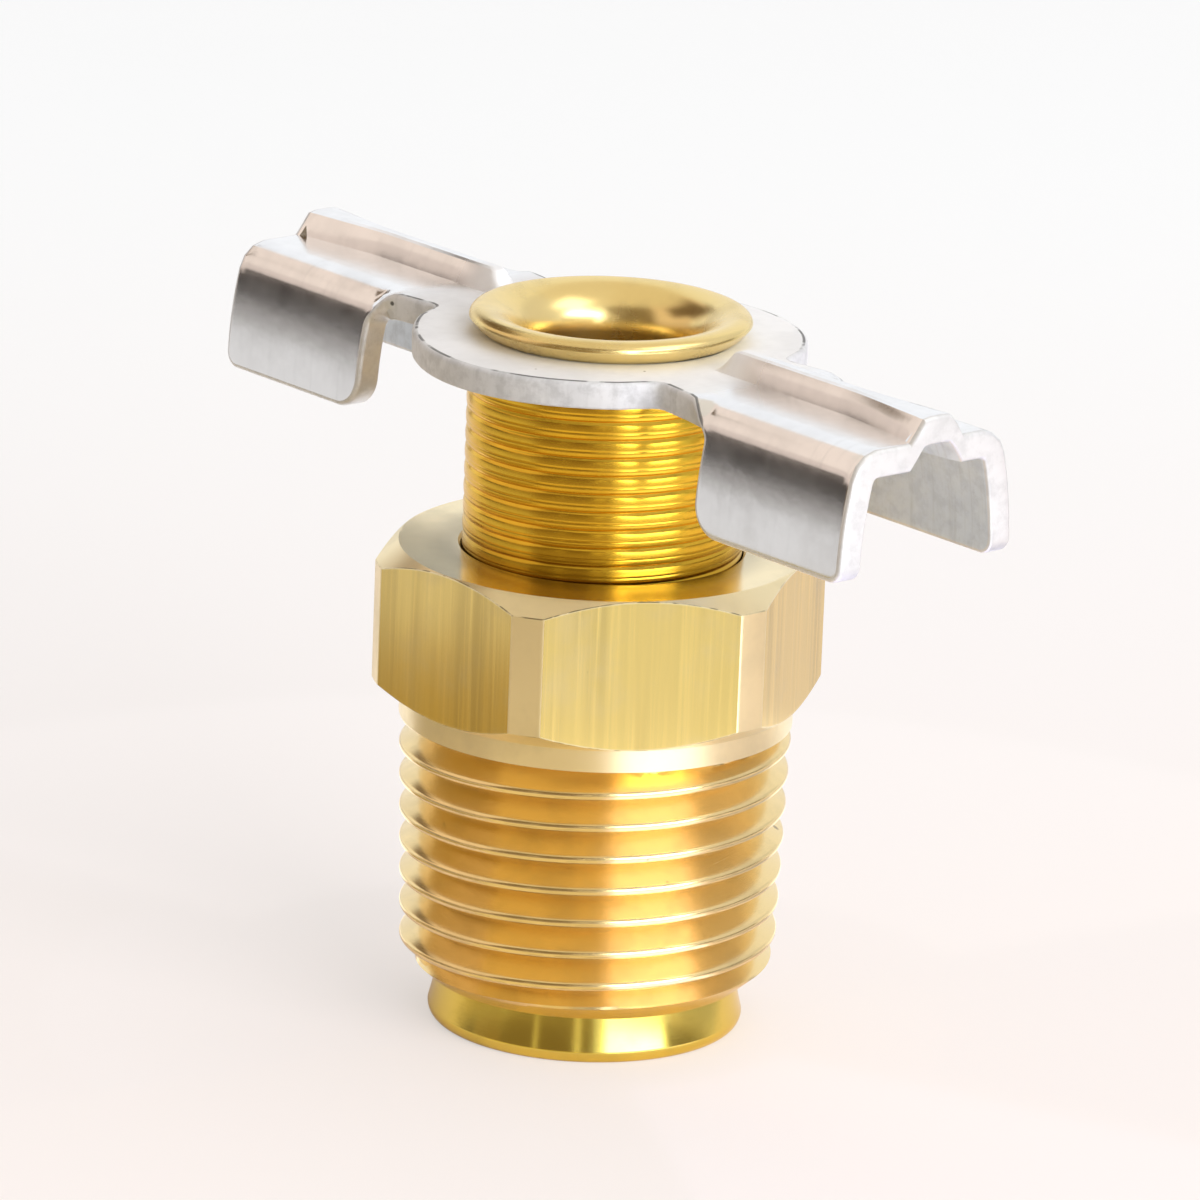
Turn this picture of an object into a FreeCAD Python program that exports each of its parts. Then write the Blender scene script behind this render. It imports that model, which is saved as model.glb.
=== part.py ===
import FreeCAD, Part
import math
import os

# External-seat drain cock. Millimetres, +Z up along the stem, +X along the handle.
# The origin is the centre of the stem head's underside. The cock is shown closed.

os.makedirs("parts", exist_ok=True)
V = FreeCAD.Vector
UP = V(0, 0, 1)
ORIGIN = V(0, 0, 0)

# Taper pipe end, 1/2-14, at the size over its crests: one in sixteen on the diameter
PIPE_PITCH = 25.4 / 14
PIPE_PITCH_DIAMETER = 19.264
PIPE_THREAD_DEPTH = 0.8 * PIPE_PITCH
PIPE_CREST_CUT = 0.08
PIPE_TAPER = 1 / 32

# Hexagon body, turned from 7/8 inch bar
HEX_ACROSS_FLATS = 22.225
HEX_CORNER_R = 12.36
HEX_CHAMFER_DEG = 35
HEX_TURN_DEG = -28.3
BODY_BOTTOM = 2.70
HEX_BOTTOM = 18.57
BODY_TOP = 26.90
COLLAR_R = 10.75
COLLAR_HEIGHT = 1.30
BODY_END_R = 8.80
BODY_BORE_CLEARANCE = 0.05
BODY_THREAD_BOTTOM = 12.0
BODY_RELIEF_R = 7.95
BORE_MOUTH_CHAMFER = 0.15

# Stem: head, waisted shank, threaded shaft and flared top in one piece
STEM_R = 7.64
STEM_THREAD_BOTTOM = 14.0
SHANK_R = 6.20
SEAT_GAP = 0.05
HEAD_TOP = BODY_BOTTOM - SEAT_GAP
HEAD_NECK_R = 8.21
HEAD_LIP_R = 8.64
HEAD_LIP_Z = 0.62
HEAD_FOOT_R = 8.15
SEAL_GROOVE_R = 7.70
SEAL_GROOVE_Z = 1.70
STEM_BORE_R = 4.60
STEM_BORE_BOTTOM = 5.50
DRILL_POINT_DEG = 118
PORT_R = 2.25
PORT_Z = 8.50
SPIGOT_R = 6.40
SPIGOT_FLAT = 5.90
SHOULDER_CHAMFER = 0.35

# Handle: one stamping of plated sheet
PLATE_TOP = 38.80
SHEET = 1.50
DISC_R = 10.68
WING_TIP = 26.0
WING_HALF_WIDTH = 6.0
FLANGE_START = 14.2
FLANGE_DEPTH = 6.95
NECK_HALF_WIDTH = 4.50
NECK_END_HALF_WIDTH = 5.10
NECK_FILLET_R = 0.7
NOTCH_X = 9.50
NOTCH_SLANT = 0.5
NOTCH_CORNER_R = 0.6
BEND_INNER_R = 0.30
FLANGE_INNER_CORNER_R = 1.8
FLANGE_TIP_CORNER_R = 0.9

# Stiffening rib pressed up along each wing
RIB_START = 9.0
RIB_OFFSET = 0.40
RIB_HEIGHT = 1.28
RIB_FOOT_HALF_WIDTH = 1.55
RIB_TOP_HALF_WIDTH = 0.80
RIB_NOSE_RUN = 1.4
RIB_CORNER_R = 0.45

# Flare of the stem over the handle
FLARE_R = 7.66
FLARE_UNDERSIDE_R = 6.75
FLARE_EDGE_RISE = 0.45
FLARE_TOP = 40.10
FLARE_MOUTH_R = 6.95
FLARE_THROAT_Z = 37.60

# Seal ring in the groove of the head, bevelled where it enters the body
SEAL_CLEARANCE = 0.05
SEAL_HEIGHT = 1.40
SEAL_BEVEL = 0.55

PLATE_BOTTOM = PLATE_TOP - SHEET
OVERCUT = 1.0


def rounded_wire(points, radii):
    """Closed wire through the points, with each corner rounded by its radius."""
    count = len(points)
    ends = []
    edges = []
    for i in range(count):
        corner = points[i]
        to_last = (points[i - 1] - corner).normalize()
        to_next = (points[(i + 1) % count] - corner).normalize()
        radius = radii[i]
        if radius <= 0:
            ends.append((corner, corner))
            continue
        half_turn = to_last.getAngle(to_next) / 2
        reach = radius / math.tan(half_turn)
        centre = corner + (to_last + to_next).normalize() * (radius / math.sin(half_turn))
        middle = centre + (corner - centre).normalize() * radius
        first = corner + to_last * reach
        last = corner + to_next * reach
        edges.append(Part.Arc(first, middle, last).toShape())
        ends.append((first, last))
    for i in range(count):
        start = ends[i][1]
        finish = ends[(i + 1) % count][0]
        if (finish - start).Length > 1e-6:
            edges.append(Part.LineSegment(start, finish).toShape())
    return Part.Wire(Part.__sortEdges__(edges))


def turned(edges):
    """Solid of revolution about the stem axis from a closed chain of edges in the XZ plane."""
    face = Part.Face(Part.Wire(Part.__sortEdges__(edges)))
    return face.revolve(ORIGIN, UP, 360)


def polyline(points):
    """Line edges through (radius, height) points."""
    corners = [V(r, 0, z) for r, z in points]
    return [Part.LineSegment(a, b).toShape() for a, b in zip(corners, corners[1:])]


def turned_polygon(points):
    """Solid of revolution of a closed polygon of (radius, height) points."""
    return turned(polyline(points + points[:1]))


def crest_radius(z):
    """Radius of the pipe end over its thread's crests at a height."""
    full = (PIPE_PITCH_DIAMETER + PIPE_THREAD_DEPTH) / 2 - PIPE_CREST_CUT
    return full + (z - BODY_BOTTOM) * PIPE_TAPER


def make_body():
    """Hexagon body with a taper pipe end and a bore for the stem."""
    corner = HEX_ACROSS_FLATS / 2 / math.cos(math.radians(30))
    ring = [
        V(corner * math.cos(math.radians(a)), corner * math.sin(math.radians(a)), HEX_BOTTOM)
        for a in range(30, 391, 60)
    ]
    hexagon = Part.Face(Part.makePolygon(ring)).extrude(V(0, 0, BODY_TOP - HEX_BOTTOM))
    hexagon.rotate(ORIGIN, UP, HEX_TURN_DEG)
    face_r = HEX_ACROSS_FLATS / 2
    chamfer = (HEX_CORNER_R - face_r) * math.tan(math.radians(HEX_CHAMFER_DEG))
    hexagon = hexagon.common(turned_polygon([
        (0, HEX_BOTTOM),
        (face_r, HEX_BOTTOM),
        (HEX_CORNER_R, HEX_BOTTOM + chamfer),
        (HEX_CORNER_R, BODY_TOP - chamfer),
        (face_r, BODY_TOP),
        (0, BODY_TOP),
    ]))
    taper_top = HEX_BOTTOM - COLLAR_HEIGHT
    end_chamfer = crest_radius(BODY_BOTTOM) - BODY_END_R
    taper = turned_polygon([
        (0, BODY_BOTTOM),
        (BODY_END_R, BODY_BOTTOM),
        (crest_radius(BODY_BOTTOM + end_chamfer), BODY_BOTTOM + end_chamfer),
        (crest_radius(taper_top), taper_top),
        (0, taper_top),
    ])
    collar = Part.makeCylinder(COLLAR_R, COLLAR_HEIGHT, V(0, 0, taper_top))
    bore_r = STEM_R + BODY_BORE_CLEARANCE
    bore = turned_polygon([
        (0, BODY_BOTTOM - OVERCUT),
        (BODY_RELIEF_R + BORE_MOUTH_CHAMFER + OVERCUT, BODY_BOTTOM - OVERCUT),
        (BODY_RELIEF_R, BODY_BOTTOM + BORE_MOUTH_CHAMFER),
        (BODY_RELIEF_R, BODY_THREAD_BOTTOM),
        (bore_r, BODY_THREAD_BOTTOM + BODY_RELIEF_R - bore_r),
        (bore_r, BODY_TOP - BORE_MOUTH_CHAMFER),
        (bore_r + BORE_MOUTH_CHAMFER + OVERCUT, BODY_TOP + OVERCUT),
        (0, BODY_TOP + OVERCUT),
    ])
    return taper.fuse([collar, hexagon]).removeSplitter().cut(bore)


def make_stem():
    """Hollow stem with its sealing head at the foot and its top flared over the handle."""
    waist_rise = STEM_R - SHANK_R
    shaft = polyline([
        (HEAD_FOOT_R, 0),
        (HEAD_LIP_R, HEAD_LIP_Z),
        (HEAD_NECK_R, HEAD_TOP),
        (SEAL_GROOVE_R, HEAD_TOP),
        (SEAL_GROOVE_R, SEAL_GROOVE_Z),
        (SHANK_R, SEAL_GROOVE_Z),
        (SHANK_R, STEM_THREAD_BOTTOM - waist_rise),
        (STEM_R, STEM_THREAD_BOTTOM),
        (STEM_R, PLATE_BOTTOM - SHOULDER_CHAMFER),
        (STEM_R - SHOULDER_CHAMFER, PLATE_BOTTOM),
        (SPIGOT_R, PLATE_BOTTOM),
        (SPIGOT_R, PLATE_TOP),
        (FLARE_UNDERSIDE_R, PLATE_TOP),
        (FLARE_R, PLATE_TOP + FLARE_EDGE_RISE),
        (FLARE_MOUTH_R, FLARE_TOP),
    ])
    mouth_run = FLARE_MOUTH_R - STEM_BORE_R
    mouth_rise = FLARE_TOP - FLARE_THROAT_Z
    trumpet_r = (mouth_run ** 2 + mouth_rise ** 2) / (2 * mouth_run)
    half_turn = math.asin(mouth_rise / trumpet_r) / 2
    trumpet = Part.Arc(
        V(FLARE_MOUTH_R, 0, FLARE_TOP),
        V(
            STEM_BORE_R + trumpet_r * (1 - math.cos(half_turn)),
            0,
            FLARE_THROAT_Z + trumpet_r * math.sin(half_turn),
        ),
        V(STEM_BORE_R, 0, FLARE_THROAT_Z),
    ).toShape()
    drill_point = STEM_BORE_R / math.tan(math.radians(DRILL_POINT_DEG / 2))
    inside = polyline([
        (STEM_BORE_R, FLARE_THROAT_Z),
        (STEM_BORE_R, STEM_BORE_BOTTOM),
        (0, STEM_BORE_BOTTOM - drill_point),
        (0, 0),
        (HEAD_FOOT_R, 0),
    ])
    stem = turned(shaft + [trumpet] + inside)
    for direction in (V(1, 0, 0), V(0, 1, 0)):
        reach = SHANK_R + OVERCUT
        start = V(0, 0, PORT_Z) - direction * reach
        stem = stem.cut(Part.makeCylinder(PORT_R, 2 * reach, start, direction))
    return stem.cut(spigot_flats())


def spigot_flats():
    """Two blocks that give the spigot, and the hole it fills, a flat on each side."""
    depth = STEM_R
    blocks = []
    for side in (-1, 1):
        low = SPIGOT_FLAT if side > 0 else -SPIGOT_FLAT - depth
        blocks.append(Part.makeBox(2 * STEM_R, depth, SHEET, V(-STEM_R, low, PLATE_BOTTOM)))
    return Part.makeCompound(blocks)


def channel_section(x):
    """Section of the wing: a flat top with a flange bent down at each side."""
    outer = WING_HALF_WIDTH
    inner = outer - SHEET
    low = PLATE_TOP - FLANGE_DEPTH
    bend = BEND_INNER_R + SHEET
    points = [
        V(x, -outer, low),
        V(x, -outer, PLATE_TOP),
        V(x, outer, PLATE_TOP),
        V(x, outer, low),
        V(x, inner, low),
        V(x, inner, PLATE_BOTTOM),
        V(x, -inner, PLATE_BOTTOM),
        V(x, -inner, low),
    ]
    return rounded_wire(points, [0, bend, bend, 0, 0, BEND_INNER_R, BEND_INNER_R, 0])


def rib_bump(base, floor):
    """Rib of rounded section standing on a height, from its sloped nose to the wing's tip."""
    top = base + RIB_HEIGHT
    points = [
        V(0, RIB_OFFSET - RIB_FOOT_HALF_WIDTH - OVERCUT, floor),
        V(0, RIB_OFFSET - RIB_FOOT_HALF_WIDTH - OVERCUT, base),
        V(0, RIB_OFFSET - RIB_FOOT_HALF_WIDTH, base),
        V(0, RIB_OFFSET - RIB_TOP_HALF_WIDTH, top),
        V(0, RIB_OFFSET + RIB_TOP_HALF_WIDTH, top),
        V(0, RIB_OFFSET + RIB_FOOT_HALF_WIDTH, base),
        V(0, RIB_OFFSET + RIB_FOOT_HALF_WIDTH + OVERCUT, base),
        V(0, RIB_OFFSET + RIB_FOOT_HALF_WIDTH + OVERCUT, floor),
    ]
    radii = [0, 0] + [RIB_CORNER_R] * 4 + [0, 0]
    bar = Part.Face(rounded_wire(points, radii)).extrude(V(WING_TIP, 0, 0))
    nose = Part.makePolygon([
        V(RIB_START, -WING_HALF_WIDTH, floor),
        V(RIB_START, -WING_HALF_WIDTH, base),
        V(RIB_START + RIB_NOSE_RUN, -WING_HALF_WIDTH, top),
        V(WING_TIP, -WING_HALF_WIDTH, top),
        V(WING_TIP, -WING_HALF_WIDTH, floor),
        V(RIB_START, -WING_HALF_WIDTH, floor),
    ])
    return bar.common(Part.Face(nose).extrude(V(0, 2 * WING_HALF_WIDTH, 0)))


def flange_side_outline():
    """Side view of the wing, with the flange's lower corners rounded."""
    low = PLATE_TOP - FLANGE_DEPTH
    points = [
        V(0, -WING_HALF_WIDTH, PLATE_TOP + RIB_HEIGHT),
        V(0, -WING_HALF_WIDTH, PLATE_BOTTOM),
        V(FLANGE_START, -WING_HALF_WIDTH, PLATE_BOTTOM),
        V(FLANGE_START, -WING_HALF_WIDTH, low),
        V(WING_TIP, -WING_HALF_WIDTH, low),
        V(WING_TIP, -WING_HALF_WIDTH, PLATE_TOP + RIB_HEIGHT),
    ]
    radii = [0, 0, 0, FLANGE_INNER_CORNER_R, FLANGE_TIP_CORNER_R, 0]
    face = Part.Face(rounded_wire(points, radii))
    return face.extrude(V(0, 2 * WING_HALF_WIDTH, 0))


def neck_plan_cut(side):
    """Plan cut beside the neck: a slanted notch into the disc, then a straight edge to the flange's end."""
    near = side * NECK_HALF_WIDTH
    far = WING_HALF_WIDTH + OVERCUT
    slant = NOTCH_SLANT * (far - NECK_HALF_WIDTH)
    points = [
        V(NOTCH_X, near, 0),
        V(FLANGE_START, side * NECK_END_HALF_WIDTH, 0),
        V(FLANGE_START, side * far, 0),
        V(NOTCH_X - slant, side * far, 0),
    ]
    face = Part.Face(rounded_wire(points, [NOTCH_CORNER_R, NECK_FILLET_R, 0, 0]))
    return face.extrude(V(0, 0, PLATE_TOP + OVERCUT))


def make_wing():
    """One wing of the handle: a ribbed channel on a neck, pointing along +X."""
    wing = Part.Face(channel_section(0)).extrude(V(WING_TIP, 0, 0))
    wing = wing.common(flange_side_outline())
    wing = wing.fuse(rib_bump(PLATE_TOP, PLATE_TOP - SHEET / 2))
    return wing.cut(rib_bump(PLATE_BOTTOM, PLATE_BOTTOM - OVERCUT))


def make_handle():
    """Stamped handle: a disc keyed to the stem's spigot, with a notched wing on each side."""
    disc = Part.makeCylinder(DISC_R, SHEET, V(0, 0, PLATE_BOTTOM))
    wing = make_wing()
    notches = [neck_plan_cut(-1), neck_plan_cut(1)]
    across = V(1, 0, 0)
    handle = disc.fuse([wing, wing.mirror(ORIGIN, across)]).removeSplitter()
    handle = handle.cut(notches + [notch.mirror(ORIGIN, across) for notch in notches])
    hole = Part.makeCylinder(SPIGOT_R, SHEET + 2 * OVERCUT, V(0, 0, PLATE_BOTTOM - OVERCUT))
    return handle.cut(hole.cut(spigot_flats()))


def make_seal():
    """Rubber ring that lies in the head's groove and closes on the body's end."""
    inner = SHANK_R + SEAL_CLEARANCE
    outer = SEAL_GROOVE_R - SEAL_CLEARANCE
    low = SEAL_GROOVE_Z + SEAL_CLEARANCE
    high = low + SEAL_HEIGHT
    return turned_polygon([
        (inner, low),
        (outer, low),
        (outer, high - SEAL_BEVEL),
        (outer - SEAL_BEVEL, high),
        (inner, high),
    ])


PIECES = {
    "body": make_body,
    "stem": make_stem,
    "handle": make_handle,
    "seal": make_seal,
}

for name, make in PIECES.items():
    solid = make().Solids[0]
    solid.exportStep("parts/" + name + ".step")
    print(name, "valid:", solid.isValid(), "volume:", round(solid.Volume, 2))
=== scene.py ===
"""Drain cock: hexagon brass body, hollow threaded stem, stamped two-wing handle and seal ring."""
import math

import bmesh
import bpy
from bpy.props import FloatProperty, FloatVectorProperty, PointerProperty
from mathutils import Matrix, Vector, kdtree
from mathutils.geometry import delaunay_2d_cdt


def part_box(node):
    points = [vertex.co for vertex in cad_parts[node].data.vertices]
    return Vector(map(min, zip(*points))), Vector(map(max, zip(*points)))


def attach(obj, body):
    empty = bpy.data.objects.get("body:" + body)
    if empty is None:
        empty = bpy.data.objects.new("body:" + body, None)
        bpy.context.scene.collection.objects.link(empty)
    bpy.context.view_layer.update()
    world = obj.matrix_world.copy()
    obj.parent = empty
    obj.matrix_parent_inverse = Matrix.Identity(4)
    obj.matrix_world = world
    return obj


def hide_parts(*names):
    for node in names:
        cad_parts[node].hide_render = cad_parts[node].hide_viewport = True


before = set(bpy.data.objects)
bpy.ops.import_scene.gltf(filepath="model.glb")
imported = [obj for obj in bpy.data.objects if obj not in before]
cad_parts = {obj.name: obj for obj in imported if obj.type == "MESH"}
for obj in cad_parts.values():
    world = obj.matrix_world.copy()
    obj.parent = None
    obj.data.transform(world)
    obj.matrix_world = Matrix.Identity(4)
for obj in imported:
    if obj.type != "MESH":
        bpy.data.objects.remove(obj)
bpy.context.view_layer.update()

bl_info = {
    "name": "Drain cock",
    "version": (1, 0, 0),
    "blender": (4, 5, 0),
    "location": "3D View > Sidebar > Drain cock",
    "description": "Builds a brass drain cock with a stamped handle round its packed frame",
    "category": "Add Mesh",
}

MM = 0.001
BODY_LOW, BODY_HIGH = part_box("body")
STEM_LOW, STEM_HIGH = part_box("stem")
HANDLE_LOW, HANDLE_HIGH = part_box("handle")
SEAL_LOW, SEAL_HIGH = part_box("seal")
SHARP_ANGLE = math.radians(24)
MERGE = 0.0005 * MM
RUN_IN = 1.05


def length(name, description, millimetres):
    """Property for a length, with its default in millimetres."""
    return FloatProperty(
        name=name, description=description, default=millimetres * MM, min=0.0, unit="LENGTH", precision=5
    )


def turn(name, description, degrees):
    """Property for an angle, with its default in degrees."""
    return FloatProperty(
        name=name, description=description, default=math.radians(degrees), subtype="ANGLE", unit="ROTATION"
    )


def colour(name, description, rgb):
    """Property for a colour."""
    return FloatVectorProperty(
        name=name, description=description, default=rgb, size=3, min=0.0, max=1.0, subtype="COLOR"
    )


class BodySettings(bpy.types.PropertyGroup):
    """Sizes and finish of the hexagon body."""

    across_flats: length("Across flats", "Width of the hexagon bar", 22.225)
    corner_radius: length("Corner radius", "Radius to which the hexagon's corners are turned", 12.36)
    hex_height: length("Hexagon height", "Height of the hexagon with its chamfers", 8.33)
    hex_turn: turn("Hexagon turn", "Turn of the hexagon's first flat from the handle", -28.3)
    chamfer: turn("Chamfer", "Slope of the chamfers at both ends of the hexagon", 35)
    collar_radius: length("Collar radius", "Radius of the plain collar under the hexagon", 10.75)
    collar_height: length("Collar height", "Height of the plain collar", 1.30)
    end_radius: length("End radius", "Radius of the chamfered end of the pipe thread", 8.80)
    pitch: length("Pipe pitch", "Pitch of the taper pipe thread, fourteen to the inch", 25.4 / 14)
    pitch_radius: length("Pitch radius", "Pitch radius at the small end of the pipe thread", 9.632)
    crest_height: length("Crest height", "Height of the pipe thread's crests over its pitch radius", 0.646)
    crest_round: length("Crest round", "Radius of the pipe thread's worn crests", 0.28)
    thread_start: turn("Thread start", "Turn of the pipe thread's start", 30)
    bore_radius: length("Bore radius", "Radius of the bore round the stem", 7.69)
    relief_radius: length("Relief radius", "Radius of the bore below its thread", 7.95)
    mouth_chamfer: length("Mouth chamfer", "Chamfer of the bore round the stem", 0.15)
    brass: colour("Brass", "Colour of the body's brass", (0.86, 0.655, 0.24))
    thread_brass: colour("Thread brass", "Colour of the cut pipe thread", (0.90, 0.70, 0.34))
    turned_brass: colour("Turned brass", "Colour of the body's turned faces", (0.94, 0.80, 0.49))


class StemSettings(bpy.types.PropertyGroup):
    """Sizes and finish of the hollow stem."""

    radius: length("Radius", "Radius over the stem's thread", 7.64)
    pitch: length("Pitch", "Pitch of the stem's thread", 1.0)
    thread_round: length("Thread round", "Radius of the stem thread's shallow crests", 1.7)
    shank_radius: length("Shank radius", "Radius of the waisted shank", 6.20)
    lip_radius: length("Lip radius", "Radius of the head's lower lip", 8.64)
    neck_radius: length("Neck radius", "Radius of the head under the body", 8.21)
    foot_radius: length("Foot radius", "Radius of the head's flat underside", 8.15)
    bore_radius: length("Bore radius", "Radius of the drain passage", 4.60)
    flare_radius: length("Flare radius", "Radius of the rim flared over the handle", 7.66)
    mouth_radius: length("Mouth radius", "Radius of the flare's upper inner edge", 6.95)
    throat: length("Throat", "Height at which the flare meets the bore", 37.60)
    brass: colour("Brass", "Colour of the stem's brass", (0.84, 0.51, 0.045))
    foot_brass: colour("Foot brass", "Colour of the polished head", (0.80, 0.63, 0.13))
    flare_brass: colour("Flare brass", "Colour of the flared rim", (0.88, 0.69, 0.30))


class HandleSettings(bpy.types.PropertyGroup):
    """Sizes and finish of the stamped handle."""

    disc_radius: length("Disc radius", "Radius of the disc round the stem", 10.68)
    hole_radius: length("Hole radius", "Radius of the hole that the stem is riveted through", 6.41)
    sheet: length("Sheet", "Thickness of the sheet", 1.50)
    half_width: length("Half width", "Half the width over a wing's flanges", 6.0)
    neck: length("Neck", "Half the width of a wing's neck at the disc", 4.50)
    neck_end: length("Neck end", "Half the width of a wing's neck at the flanges", 5.10)
    notch_x: length("Notch distance", "Distance from the axis to the notches' corners", 9.50)
    notch_slant: turn("Notch slant", "Slant of the notches' sides towards the disc", 26.565)
    notch_corner: length("Notch corner", "Radius of the notches' corners", 0.6)
    flange_start: length("Flange start", "Distance from the axis to the flanges' inner ends", 14.2)
    flange_depth: length("Flange depth", "Depth of the flanges from the top of the plate", 6.95)
    plate_top: length("Plate top", "Height of the plate's upper face", 38.80)
    bend_radius: length("Bend radius", "Inner radius of the flange bends", 0.30)
    bend_turn: turn("Bend turn", "Turn of the tight bend, with the rest spread over the flange", 76)
    rib_height: length("Rib height", "Height of the pressed rib", 1.27)
    rib_offset: length("Rib offset", "Distance of the rib from the middle of the wing", 0.50)
    zinc: colour("Zinc", "Colour of the bright zinc plating", (0.91, 0.925, 0.955))


class StageSettings(bpy.types.PropertyGroup):
    """Camera and floor."""

    azimuth: turn("Azimuth", "Turn of the camera round the part", 49.6287)
    distance: length("Distance", "Level distance from the axis to the camera", 466.563)
    height: length("Height", "Height of the camera over the floor", 160.654)
    pitch: turn("Pitch", "Tilt of the camera below the horizon", 16.3565)
    roll: turn("Roll", "Roll of the camera", 2.2368)
    lens: FloatProperty(name="Lens", description="Focal length in millimetres", default=268.36, min=1.0)
    # In front of the part the floor takes this pink, a painted tint for the warm light that the brass
    # bounces onto it.
    floor: colour("Floor", "Colour of the pale floor", (0.90, 0.76, 0.70))


# Mesh helpers


def smooth(x):
    """Smooth step from nought to one."""
    x = min(max(x, 0.0), 1.0)
    return x * x * (3 - 2 * x)


def spread(start, stop, count):
    """Evenly spaced values, both ends included."""
    return [start + (stop - start) * i / (count - 1) for i in range(count)]


def arc(centre, radius, start_deg, stop_deg, count):
    """Points of a circular arc."""
    return [
        (centre[0] + radius * math.cos(math.radians(a)), centre[1] + radius * math.sin(math.radians(a)))
        for a in spread(start_deg, stop_deg, count)
    ]


def rounded(corners, spacing):
    """Points along a path of ((x, y), radius) corners, with round corners and short straight steps."""
    path = [Vector(corners[0][0])]
    for (before, _), (corner, radius), (after, _) in zip(corners, corners[1:], corners[2:]):
        corner = Vector(corner)
        back = (Vector(before) - corner).normalized()
        ahead = (Vector(after) - corner).normalized()
        half = back.angle(ahead) / 2
        reach = radius / math.tan(half)
        centre = corner + (back + ahead).normalized() * (radius / math.sin(half))
        first = corner + back * reach - centre
        sweep = first.angle_signed(corner + ahead * reach - centre)
        steps = max(3, int(abs(sweep) * radius / spacing * 2) + 1)
        straight(path, centre + first, spacing)
        for i in range(1, steps + 1):
            path.append(centre + Matrix.Rotation(-sweep * i / steps, 2) @ first)
    straight(path, Vector(corners[-1][0]), spacing)
    return path


def straight(path, goal, spacing):
    """Adds points to the path up to the goal."""
    start = path[-1]
    steps = max(1, round((goal - start).length / spacing))
    path.extend(start.lerp(goal, i / steps) for i in range(1, steps + 1))


def ring_grid(angles, rows, seam=None):
    """Vertices and faces of a surface of revolution, one row for each function of angle to (radius, height).

    seam maps a row to the row that it meets where the last column joins the first.
    """
    seam = seam or (lambda row: row)
    columns = len(angles)
    points = []
    for row in rows:
        for angle in angles:
            radius, height = row(angle) if callable(row) else row
            points.append((radius * math.cos(angle), radius * math.sin(angle), height))
    faces = []
    for i in range(len(rows) - 1):
        here, above = i * columns, (i + 1) * columns
        for k in range(columns):
            if k + 1 < columns:
                near, far = here + k + 1, above + k + 1
            else:
                near, far = seam(i) * columns, seam(i + 1) * columns
            faces.append(tuple(dict.fromkeys((here + k, near, far, above + k))))
    return points, faces


def new_piece(name, points, faces, materials, finish=None, edges=None):
    """Mesh object from points and faces, with equal points merged and smooth shading.

    finish gives each face's material, and edges holds how much each point lies on an edge marked for wear, a
    painted glint and dark marks.
    """
    mesh = bpy.data.meshes.new(name)
    shell = bmesh.new()
    edge_marking = shell.verts.layers.float.new("edge")
    corners = [shell.verts.new(p) for p in points]
    for corner, weight in zip(corners, edges or []):
        corner[edge_marking] = weight
    for number, face in enumerate(faces):
        made = shell.faces.new([corners[i] for i in face])
        made.material_index = finish(number) if finish else 0
        made.smooth = True
    bmesh.ops.remove_doubles(shell, verts=shell.verts, dist=MERGE)
    bmesh.ops.dissolve_degenerate(shell, edges=shell.edges, dist=MERGE)
    loose = [v for v in shell.verts if not v.link_faces]
    bmesh.ops.delete(shell, geom=loose, context="VERTS")
    bmesh.ops.recalc_face_normals(shell, faces=shell.faces)
    shell.to_mesh(mesh)
    shell.free()
    mesh.set_sharp_from_angle(angle=SHARP_ANGLE)
    piece = bpy.data.objects.new(name, mesh)
    bpy.context.scene.collection.objects.link(piece)
    for material in materials:
        mesh.materials.append(material)
    return piece


def place(piece, body, node):
    """Puts a piece on its body, in its node's stead."""
    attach(piece, body)
    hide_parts(node)


def helix_rows(bottom, top, pitch, phases, shape, start):
    """Rows of a right-hand thread between two heights, one for each phase of each turn.

    shape(phase, height) gives the radius. Rows past an end all lie on that end.
    """
    first = bottom - RUN_IN * pitch
    turns = math.ceil((top - first) / pitch) + 1

    def row(turn_number, phase):
        def at(angle):
            height = first + pitch * (turn_number + phase + (angle - start) / math.tau)
            height = min(max(height, bottom), top)
            return shape(phase, height), height

        return at

    return [row(n, phase) for n in range(turns) for phase in phases]


# Materials

# Radius plus height between which a painted shade on the brass, where the stem enters the body, fades out
JOINT_SHADE_FROM = 34.8 * MM
JOINT_SHADE_TO = 37.0 * MM
# Distances from the axis between which the plating turns from satin to burnished
SATIN_TO = 10.2 * MM
BURNISHED_FROM = 13.4 * MM


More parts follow.
